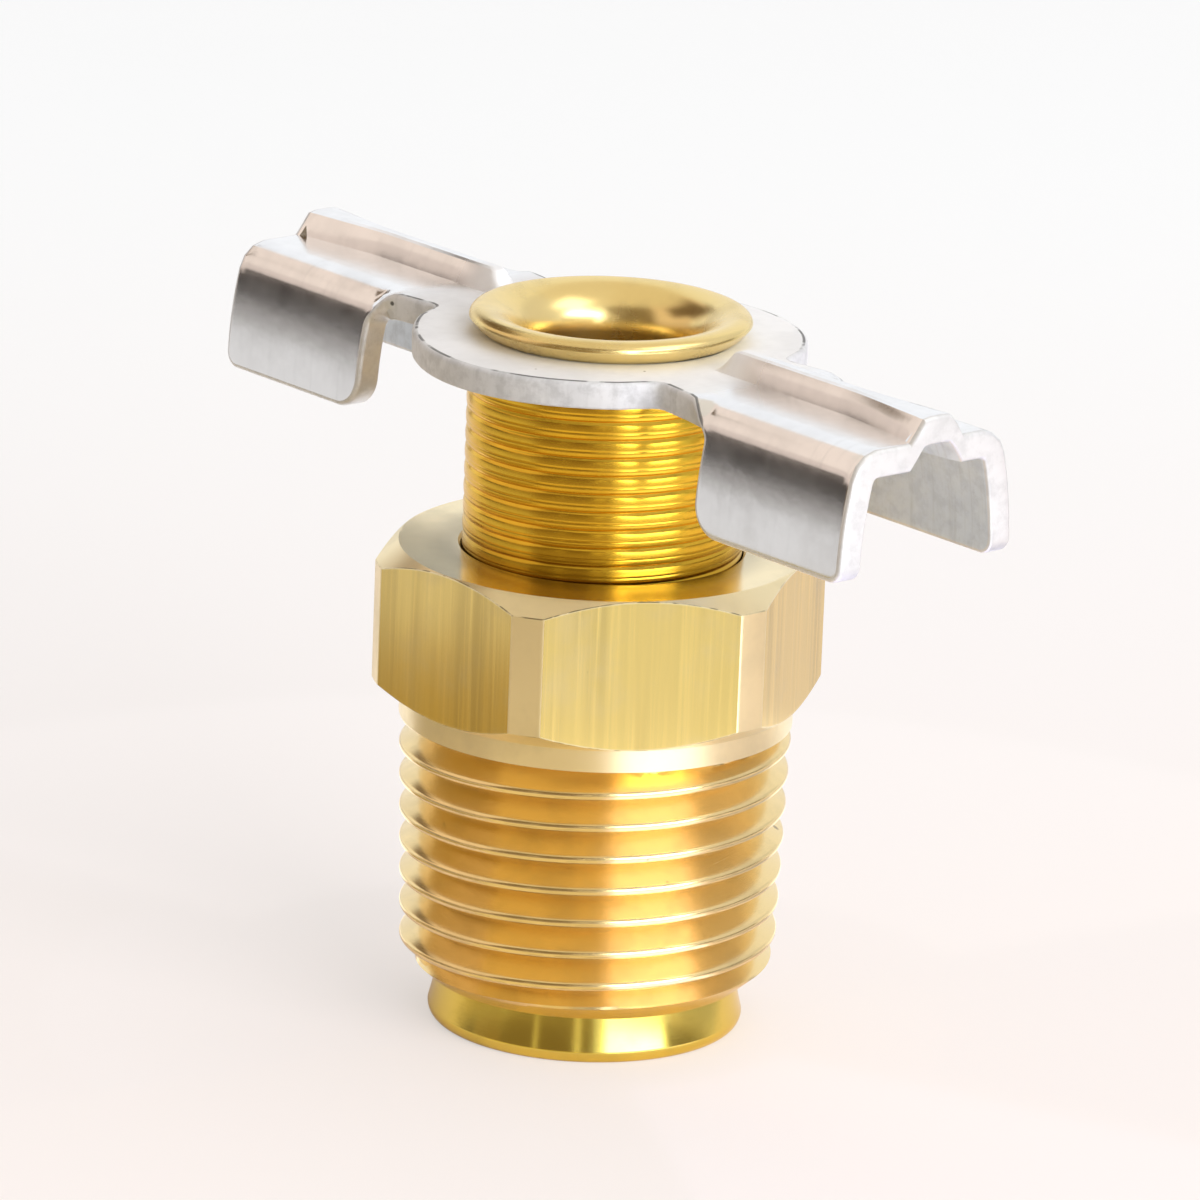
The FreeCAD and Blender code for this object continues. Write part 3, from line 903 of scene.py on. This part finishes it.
class DRAINCOCK_OT_handle(bpy.types.Operator):
    """Build the stamped handle with its two ribbed wings"""

    bl_idname = "drain_cock.handle"
    bl_label = "Wing handle"

    PLATE, SHEARED, UNDERSIDE = range(3)
    EDGE_ROUND = 0.28 * MM
    RIM_STRIP = 0.2 * MM
    STEP = 0.45 * MM
    NECK_FILLET = 0.7 * MM
    FLANGE_CORNER = 1.8 * MM
    TIP_CORNER = 0.9 * MM
    # Stretch from the axis over which the bend grows, and the share of the flange's curve left in the disc
    BEND_STARTS = 12.4 * MM
    BEND_GROWS = 1.8 * MM
    DISC_SAG = 0.18
    LEAST_BEND = 0.001
    RIB_STARTS = 8.9 * MM
    RIB_NOSE = 1.5 * MM
    RIB_CURVE = 1.9
    RIB_WIDENS = 19 * MM
    RIB_WIDE = 27 * MM
    RIB_FOOT = (0.95 * MM, 1.70 * MM)
    RIB_TOP = (0.25 * MM, 0.75 * MM)
    RIB_SHARES = (0.0, 0.25, 0.5, 0.7, 0.85, 0.94, 1.0)
    STATIONS = 150
    CLEAR_OF_EDGE = 0.22 * MM
    CLEAR_OF_RIB = 0.12 * MM
    CLEAR_OF_NECK = 0.45 * MM
    CLEAR_OF_RIM = 0.5 * MM
    FLANGE_ROWS = 4.7 * MM

    def execute(self, context):
        size = context.scene.drain_cock_handle
        half = size.sheet / 2
        self.bend_mid = size.bend_radius + half
        self.bend_run = self.bend_mid * size.bend_turn
        drop = size.flange_depth - half - self.bend_mid * (1 - math.cos(size.bend_turn))
        self.sweep = math.cos(size.bend_turn) / drop
        bulge = (1 - math.sin(size.bend_turn)) / self.sweep
        self.bend_from = size.half_width - half - self.bend_mid * math.sin(size.bend_turn) - bulge
        blank_edge = self.bend_from + self.bend_run + (math.pi / 2 - size.bend_turn) / self.sweep
        tip = HANDLE_HIGH.x
        outline = self.blank_outline(size, blank_edge, tip)
        hole = [Vector((math.cos(a), math.sin(a))) * size.hole_radius for a in spread(0, math.tau, 97)[:-1]]
        hole.reverse()
        loops = [outline, hole]
        bevel = self.EDGE_ROUND
        quarter = spread(0, math.pi / 2, 6)
        section = [(bevel + self.RIM_STRIP, half)]
        section += [(bevel * (1 - math.sin(a)), half - bevel * (1 - math.cos(a))) for a in quarter]
        section += [(0.0, 0.0), (0.0, -half + 0.5 * bevel), (0.06 * MM, -half + 0.2 * bevel)]
        section += [(0.2 * MM, -half), (0.2 * MM + self.RIM_STRIP, -half)]
        strips = [self.PLATE] + [self.SHEARED] * (len(section) - 3) + [self.UNDERSIDE]
        points = []
        faces = []
        finishes = []
        first_loops = []
        last_loops = []
        for loop in loops:
            inward = self.inward(loop)
            count = len(loop)
            start = len(points)
            for inset, height in section:
                for spot, way in zip(loop, inward):
                    points.append(self.fold(size, spot + way * inset, height))
            for i, strip in enumerate(strips):
                finishes += [strip] * count
                for k in range(count):
                    n = (k + 1) % count
                    faces.append((start + i * count + k, start + i * count + n,
                                  start + (i + 1) * count + n, start + (i + 1) * count + k))
            first_loops.append(([s + w * section[0][0] for s, w in zip(loop, inward)], start))
            last_loops.append(([s + w * section[-1][0] for s, w in zip(loop, inward)],
                               start + (len(section) - 1) * count))
        self.fill(size, half, first_loops, points, faces)
        finishes += [self.PLATE] * (len(faces) - len(finishes))
        self.fill(size, -half, last_loops, points, faces)
        finishes += [self.UNDERSIDE] * (len(faces) - len(finishes))
        groups = finish_groups()
        materials = [
            zinc_plate("zinc_plate", size.zinc, groups, 0.70, 0.16, 0.04),
            zinc_plate("zinc_sheared_edge", [0.88 * c for c in size.zinc], groups, 0.80, 0.55, 0.24),
            zinc_plate("zinc_underside", (0.79, 0.86, 0.95), groups, 0.60, 0.60, 0.25),
        ]
        edges = [0.0] * len(points)
        for loop, start in first_loops:
            edge_marking = [1.0 if abs(p.x) < size.flange_start else 0.5 for p in loop]
            edges[start + len(loop):start + 3 * len(loop)] = edge_marking * 2
        piece = new_piece("wing_handle", points, faces, materials, finishes.__getitem__, edges)
        place(piece, "stem_and_handle", "handle")
        return {"FINISHED"}

    def blank_outline(self, size, blank_edge, tip):
        """Closed outline of the flat blank: disc, necks and wings with their flanges unfolded."""
        disc = size.disc_radius
        corner = Vector((size.notch_x, size.neck))
        slant = Vector((-math.sin(size.notch_slant), math.cos(size.notch_slant)))
        along = -corner.dot(slant)
        start = corner + slant * (along + math.sqrt(along ** 2 + disc ** 2 - corner.length_squared))
        leave = math.degrees(math.atan2(start.y, start.x))
        quarter = [Vector(p) for p in arc((0, 0), disc, 90, leave, 40)]
        corners = [
            (start, 0),
            (corner, size.notch_corner),
            ((size.flange_start, size.neck_end), self.NECK_FILLET),
            ((size.flange_start, blank_edge), self.FLANGE_CORNER),
            ((tip, blank_edge), self.TIP_CORNER),
            ((tip, 0.0), 0),
        ]
        quarter += rounded(corners, self.STEP)[1:]
        half = quarter + [Vector((p.x, -p.y)) for p in reversed(quarter[:-1])]
        whole = half + [Vector((-p.x, p.y)) for p in reversed(half[1:-1])]
        whole.reverse()
        return whole

    @staticmethod
    def inward(loop):
        """Unit vectors into the sheet at each point of a loop that has the sheet on its left."""
        count = len(loop)
        ways = []
        for i in range(count):
            along = (loop[(i + 1) % count] - loop[i]).normalized() + (loop[i] - loop[i - 1]).normalized()
            along.normalize()
            ways.append(Vector((-along.y, along.x)))
        return ways

    def fold(self, size, spot, height):
        """Place of a blank point after bending, at a height from the middle of the sheet."""
        across = abs(spot.y)
        side = math.copysign(1.0, spot.y)
        over = min(max(across - self.bend_from, 0.0), self.bend_run)
        rest = max(across - self.bend_from - self.bend_run, 0.0)
        share = max(smooth((abs(spot.x) - self.BEND_STARTS) / self.BEND_GROWS), self.LEAST_BEND)
        angle = over / self.bend_mid * share
        radius = self.bend_mid / share
        y = min(across, self.bend_from) + radius * math.sin(angle)
        z = -radius * (1 - math.cos(angle))
        sweep = self.sweep * max(share, self.DISC_SAG)
        lower = angle + rest * sweep
        y += (math.sin(lower) - math.sin(angle)) / sweep
        z -= (math.cos(angle) - math.cos(lower)) / sweep
        y += math.sin(lower) * height
        z += math.cos(lower) * height
        middle = size.plate_top - size.sheet / 2
        return Vector((spot.x, side * y, middle + z + self.rib(size, spot)))

    def rib_widths(self, out):
        """Half widths of the rib's foot and top at a distance from the axis."""
        share = smooth((out - self.RIB_WIDENS) / (self.RIB_WIDE - self.RIB_WIDENS))
        return [narrow + (wide - narrow) * share for narrow, wide in (self.RIB_FOOT, self.RIB_TOP)]

    def rib(self, size, spot):
        """Height of the pressed rib over the plate."""
        out = abs(spot.x)
        foot, top = self.rib_widths(out)
        off = abs(spot.y - size.rib_offset)
        nose = smooth((out - self.RIB_STARTS) / self.RIB_NOSE)
        climb = min(max((foot - off) / (foot - top), 0.0), 1.0)
        return size.rib_height * nose * (1 - (1 - climb) ** self.RIB_CURVE)

    def fill(self, size, height, edge_loops, points, faces):
        """Triangles of one face of the sheet inside its rim loops."""
        edge = [spot for loop, _ in edge_loops for spot in loop]
        owners = [start + i for loop, start in edge_loops for i in range(len(loop))]
        constraints = []
        first = 0
        for loop, _ in edge_loops:
            count = len(loop)
            constraints += [(first + i, first + (i + 1) % count) for i in range(count)]
            first += count
        inner = self.inner_spots(size, edge)
        spots = [Vector(s) / MM for s in edge + inner]
        where, _, triangles, origins, *_ = delaunay_2d_cdt(spots, constraints, [], 1, 1e-6)
        numbers = []
        for spot, origin in zip(where, origins):
            if origin and origin[0] < len(edge):
                numbers.append(owners[origin[0]])
            else:
                numbers.append(len(points))
                points.append(self.fold(size, spot * MM, height))
        hole = (size.hole_radius / MM) ** 2
        for triangle in triangles:
            middle = sum((where[i] for i in triangle), Vector((0, 0))) / 3
            if middle.length_squared > hole:
                faces.append(tuple(numbers[i] for i in triangle))

    def inner_spots(self, size, edge):
        """Points inside the sheet, closer together over the rib and the bends."""
        tree = kdtree.KDTree(len(edge))
        for i, spot in enumerate(edge):
            tree.insert((spot.x, spot.y, 0), i)
        tree.balance()
        plain = spread(-self.bend_from, self.bend_from, 31)
        bends = spread(self.bend_from, self.bend_from + self.bend_run, 13)[1:]
        flange = spread(bends[-1], bends[-1] + self.FLANGE_ROWS, 11)[1:]
        bent = bends + flange + [-w for w in bends + flange]
        reach = max(abs(spot.x) for spot in edge)
        stations = spread(-reach, reach, self.STATIONS)
        ring = (size.hole_radius + self.CLEAR_OF_RIM) ** 2
        spots = []
        for x in stations:
            foot, top = self.rib_widths(abs(x))
            offs = [0.0, 0.5 * top] + [top + (foot - top) * s for s in self.RIB_SHARES]
            lines = [size.rib_offset + off * side for off in offs for side in (-1, 1)]
            lines += [y for y in plain if abs(y - size.rib_offset) > foot + self.CLEAR_OF_RIB] + bent
            for y in sorted(set(lines)):
                wing = abs(x) > size.flange_start
                on_neck = abs(y) < size.neck - self.CLEAR_OF_NECK
                on_disc = x * x + y * y < (size.disc_radius - self.CLEAR_OF_RIM) ** 2
                if not (wing or on_neck or on_disc) or x * x + y * y < ring:
                    continue
                if tree.find((x, y, 0))[2] < self.CLEAR_OF_EDGE:
                    continue
                spots.append(Vector((x, y)))
        return spots


class DRAINCOCK_OT_seal(bpy.types.Operator):
    """Build the rubber ring in the groove of the head"""

    bl_idname = "drain_cock.seal"
    bl_label = "Seal ring"

    WIDTH = 1.40 * MM
    BEVEL = 0.55 * MM
    SOFT_EDGE = 0.12 * MM
    COLUMNS = 96

    def execute(self, context):
        outer = SEAL_HIGH.x
        inner = outer - self.WIDTH
        low, high = SEAL_LOW.z, SEAL_HIGH.z
        soft = self.SOFT_EDGE
        rows = [
            (inner + soft, low),
            (outer - soft, low),
            (outer - 0.3 * soft, low + 0.3 * soft),
            (outer, low + soft),
            (outer, high - self.BEVEL - 0.4 * soft),
            (outer - 0.3 * soft, high - self.BEVEL + 0.2 * soft),
            (outer - self.BEVEL - 0.2 * soft, high - 0.3 * soft),
            (outer - self.BEVEL - soft, high),
            (inner + soft, high),
            (inner, high - soft),
            (inner, low + soft),
            (inner + soft, low),
        ]
        points, faces = ring_grid(spread(0, math.tau, self.COLUMNS + 1)[:-1], rows)
        piece = new_piece("seal_ring_rubber", points, faces, [seal_rubber()])
        place(piece, "seal_ring", "seal")
        return {"FINISHED"}


# Stage

FACING_CAMERA = -40.37
STAGE_HEIGHT = 20 * MM
CARD_LIFT = 0.5 * MM
MAT_LIFT = 0.3 * MM
FLOOR_REACH = 3.0
FLOOR_GLOW = 0.5
WORLD_LIGHT = 0.6


def direction(phi, elevation):
    """Unit vector from the part, at a bearing to the right of the camera and an elevation, in degrees."""
    angle = math.radians(phi + FACING_CAMERA)
    rise = math.radians(elevation)
    return Vector((math.cos(angle) * math.cos(rise), math.sin(angle) * math.cos(rise), math.sin(rise)))


def add_card(name, corners, rgb):
    """Card between two rows of corners, in a plain even tone."""
    material = bpy.data.materials.new(name)
    material.use_nodes = True
    maker = NodeMaker(material.node_tree)
    glow = maker.node("ShaderNodeEmission")
    glow.inputs["Color"].default_value = (*rgb, 1)
    maker.feed(material.node_tree.nodes["Material Output"].inputs[0], glow.outputs[0])
    columns = len(corners[0])
    mesh = bpy.data.meshes.new(name)
    mesh.from_pydata(
        corners[0] + corners[1], [], [(i, i + 1, columns + i + 1, columns + i) for i in range(columns - 1)]
    )
    mesh.materials.append(material)
    card = bpy.data.objects.new(name, mesh)
    for ray in ("camera", "diffuse", "shadow", "transmission", "volume_scatter"):
        setattr(card, "visible_" + ray, False)
    bpy.context.scene.collection.objects.link(card)


class DRAINCOCK_OT_stage(bpy.types.Operator):
    """Set up the floor, the studio light and the camera"""

    bl_idname = "drain_cock.stage"
    bl_label = "Stage"

    def execute(self, context):
        size = context.scene.drain_cock_stage
        context.scene.view_settings.view_transform = "Standard"
        self.floor(size)
        self.world(context.scene)
        self.lamps()
        self.cards()
        self.camera(context.scene, size)
        return {"FINISHED"}

    @staticmethod
    def floor(size):
        """Pale floor that stays near white to the camera and keeps the part's shadow. In front of the part
        it takes a pink tint, painted for the warm light that the brass bounces onto it, and turns pale grey
        behind.
        """
        material = bpy.data.materials.new("pale_floor")
        material.use_nodes = True
        maker = NodeMaker(material.node_tree)
        shader = material.node_tree.nodes["Principled BSDF"]
        away = maker.node("ShaderNodeVectorMath", operation="DOT_PRODUCT")
        maker.feed(away.inputs[0], object_point(maker))
        maker.feed(away.inputs[1], -direction(0, 0))
        # Painted bounce light: the floor keeps the pink towards the camera and turns pale grey behind the
        # part.
        behind = maker.between(away.outputs["Value"], -0.02, 0.22)
        maker.feed(shader.inputs["Base Color"], maker.mix(behind, (*size.floor, 1), (0.97, 0.97, 0.97, 1)))
        shader.inputs["Roughness"].default_value = 0.8
        glow = maker.node("ShaderNodeEmission")
        rays = maker.node("ShaderNodeLightPath")
        blend = maker.node("ShaderNodeMixShader")
        maker.feed(blend.inputs[0], maker.math("MULTIPLY", rays.outputs["Is Camera Ray"], FLOOR_GLOW))
        maker.feed(blend.inputs[1], shader.outputs[0])
        maker.feed(blend.inputs[2], glow.outputs[0])
        maker.feed(material.node_tree.nodes["Material Output"].inputs[0], blend.outputs[0])
        mesh = bpy.data.meshes.new("floor")
        corners = [(x * FLOOR_REACH, y * FLOOR_REACH, 0) for x, y in ((-1, -1), (1, -1), (1, 1), (-1, 1))]
        mesh.from_pydata(corners, [], [(0, 1, 2, 3)])
        mesh.materials.append(material)
        floor = bpy.data.objects.new("floor", mesh)
        bpy.context.scene.collection.objects.link(floor)

    @staticmethod
    def world(scene):
        """White surroundings, plain to the camera and in reflections and dimmer as light."""
        world = bpy.data.worlds.new("studio")
        world.use_nodes = True
        scene.world = world
        maker = NodeMaker(world.node_tree)
        rays = maker.node("ShaderNodeLightPath")
        seen = maker.math("MAXIMUM", rays.outputs["Is Camera Ray"], rays.outputs["Is Glossy Ray"])
        seen = maker.math("MAXIMUM", seen, rays.outputs["Is Transmission Ray"])
        back = world.node_tree.nodes["Background"]
        back.inputs["Color"].default_value = (1, 1, 1, 1)
        maker.feed(back.inputs["Strength"], maker.math("MULTIPLY_ADD", seen, 1.0 - WORLD_LIGHT, WORLD_LIGHT))

    @staticmethod
    def lamps():
        """Large soft window at the right and a smaller lamp above."""
        for name, phi, elevation, distance, width, height, power, tint in (
            ("window", 38, 18.5, 0.75, 0.62, 0.46, 5.8, (0.98, 0.99, 1.02)),
            ("overhead", 150, 70, 0.9, 0.6, 0.6, 1.6, (1.0, 1.0, 1.0)),
        ):
            lamp = bpy.data.lights.new(name, "AREA")
            lamp.shape = "RECTANGLE"
            lamp.size = width
            lamp.size_y = height
            lamp.energy = power
            lamp.color = tint
            holder = bpy.data.objects.new(name, lamp)
            way = direction(phi, elevation)
            holder.location = way * distance + Vector((0, 0, STAGE_HEIGHT))
            holder.rotation_euler = (-way).to_track_quat("-Z", "Y").to_euler()
            holder.visible_glossy = name == "window"
            bpy.context.scene.collection.objects.link(holder)

    @staticmethod
    def cards():
        """Cards standing round the part and mats lying beside it, seen only in its reflections.

        Each spans two bearings. A card also spans two elevations at its reach, and a mat two distances.
        """
        # Near cards shape single reflections: card_bowl glows to put a painted highlight in the flared bowl,
        # card_bowl_dark puts a painted dark patch beside it, and card_wing stands for the wing's shade over
        # the stem's highlights.
        for name, phi_from, phi_to, low, high, reach, rgb in (
            ("card_left", -122, -62, 0, 8, 1.1, (0.32, 0.23, 0.14)),
            ("strip_dark", -113, -86, 0, 8, 1.08, (0.03, 0.024, 0.02)),
            ("card_left_upper", -122, -62, 8, 20, 1.1, (0.77, 0.62, 0.52)),
            ("card_above_left", -150, -62, 20, 50, 1.1, (0.95, 0.78, 0.65)),
            ("strip_above_left", -158, -121, 23, 33, 0.95, (0.12, 0.07, 0.03)),
            ("card_front", -62, 8, 0, 50, 1.1, (0.25, 0.185, 0.11)),
            ("card_right", 64, 118, 0, 12, 1.1, (0.20, 0.16, 0.09)),
            ("card_right_upper", 64, 140, 12, 50, 1.1, (0.80, 0.79, 0.82)),
            ("card_overhead_left", -180, 0, 50, 88, 1.1, (0.84, 0.75, 0.62)),
            ("card_overhead_right", 0, 180, 50, 88, 1.1, (0.86, 0.79, 0.70)),
            ("card_bowl", 40, 92, 46, 68, 0.12, (2.6, 2.5, 2.4)),
            ("card_bowl_dark", -155, -95, 47, 62, 0.052, (0.12, 0.07, 0.03)),
            ("card_wing", 19, 66, 22, 42, 0.058, (0.45, 0.39, 0.28)),
            ("strip_front", -6, -2, 0, 30, 0.95, (1.3, 1.2, 1.0)),
            ("strip_left", -36, -33, 0, 24, 0.95, (0.8, 0.7, 0.5)),
        ):
            corners = []
            for elevation in (low, high):
                foot = Vector((0, 0, CARD_LIFT if elevation == 0 else STAGE_HEIGHT))
                bearings = spread(phi_from, phi_to, 25)
                corners.append([direction(phi, elevation) * reach + foot for phi in bearings])
            add_card(name, corners, rgb)
        lift = Vector((0, 0, MAT_LIFT))
        # The mats paint the floor as the part's reflections see it: darker and brass-tinted near its left
        # and front, where its shadow falls, and glowing at the right for the window's sheen on the floor and
        # behind it to pale its edges.
        for name, phi_from, phi_to, near, far, rgb in (
            ("mat_left", -122, -58, 0.030, 0.084, (0.47, 0.345, 0.14)),
            ("mat_left_middle", -122, -58, 0.084, 0.33, (0.76, 0.73, 0.70)),
            ("mat_left_far", -122, -58, 0.33, 1.1, (0.40, 0.37, 0.34)),
            ("mat_front_near", -58, 8, 0.012, 0.060, (0.90, 0.74, 0.44)),
            ("mat_front_middle", -58, 8, 0.060, 0.085, (0.95, 0.87, 0.80)),
            ("mat_front", -58, 8, 0.085, 1.1, (0.42, 0.33, 0.22)),
            ("mat_window_near", 12, 62, 0.012, 0.052, (2.0, 1.85, 2.3)),
            ("mat_window_middle", 12, 62, 0.052, 0.065, (1.4, 1.35, 1.15)),
            ("mat_window", 8, 66, 0.065, 0.6, (0.86, 0.85, 0.80)),
            ("mat_right", 68, 121, 0.020, 0.050, (0.60, 0.58, 0.66)),
            ("mat_right_back", 122, 176, 0.062, 0.11, (0.86, 0.78, 0.80)),
            ("mat_back_left", -176, -126, 0.024, 0.060, (1.5, 1.5, 1.5)),
            ("mat_back_right", 122, 176, 0.024, 0.060, (1.5, 1.5, 1.5)),
        ):
            corners = []
            for reach in (near, far):
                corners.append([direction(phi, 0) * reach + lift for phi in spread(phi_from, phi_to, 13)])
            add_card(name, corners, rgb)

    @staticmethod
    def camera(scene, size):
        """Camera at its viewing angle, roll and focal length."""
        lens = bpy.data.cameras.new("camera")
        lens.lens = size.lens
        lens.sensor_width = 36.0
        lens.clip_start = 0.01
        camera = bpy.data.objects.new("camera", lens)
        ahead = Vector((0, math.cos(size.pitch), -math.sin(size.pitch)))
        right = Vector((1, 0, 0))
        up = right.cross(ahead)
        rolled_right = right * math.cos(size.roll) + up * math.sin(size.roll)
        rolled_up = up * math.cos(size.roll) - right * math.sin(size.roll)
        axes = Matrix((rolled_right, rolled_up, -ahead)).transposed().to_4x4()
        axes.translation = Vector((0, -size.distance, size.height))
        camera.matrix_world = Matrix.Rotation(size.azimuth, 4, "Z") @ axes
        scene.collection.objects.link(camera)
        scene.camera = camera


class DRAINCOCK_PT_panel(bpy.types.Panel):
    """Lists the pieces of the drain cock"""

    bl_idname = "DRAINCOCK_PT_panel"
    bl_label = "Drain cock"
    bl_space_type = "VIEW_3D"
    bl_region_type = "UI"
    bl_category = "Drain cock"

    def draw(self, context):
        for name in ("body", "stem", "handle", "seal", "stage"):
            self.layout.operator("drain_cock." + name)
            settings = getattr(context.scene, "drain_cock_" + name, None)
            if settings:
                box = self.layout.box()
                for key in settings.__annotations__:
                    box.prop(settings, key)


SETTINGS = {"body": BodySettings, "stem": StemSettings, "handle": HandleSettings, "stage": StageSettings}
OPERATORS = (
    DRAINCOCK_OT_body,
    DRAINCOCK_OT_stem,
    DRAINCOCK_OT_handle,
    DRAINCOCK_OT_seal,
    DRAINCOCK_OT_stage,
)


def register():
    """Adds the settings, operators and panel."""
    for group in SETTINGS.values():
        bpy.utils.register_class(group)
    for operator in OPERATORS:
        bpy.utils.register_class(operator)
    bpy.utils.register_class(DRAINCOCK_PT_panel)
    for name, group in SETTINGS.items():
        setattr(bpy.types.Scene, "drain_cock_" + name, PointerProperty(type=group))


def unregister():
    """Takes the settings, operators and panel away."""
    for name in SETTINGS:
        delattr(bpy.types.Scene, "drain_cock_" + name)
    for item in (DRAINCOCK_PT_panel, *OPERATORS, *SETTINGS.values()):
        bpy.utils.unregister_class(item)


def main():
    register()
    for operator in OPERATORS:
        getattr(bpy.ops.drain_cock, operator.bl_idname.split(".")[1])()


if __name__ == "__main__":
    main()
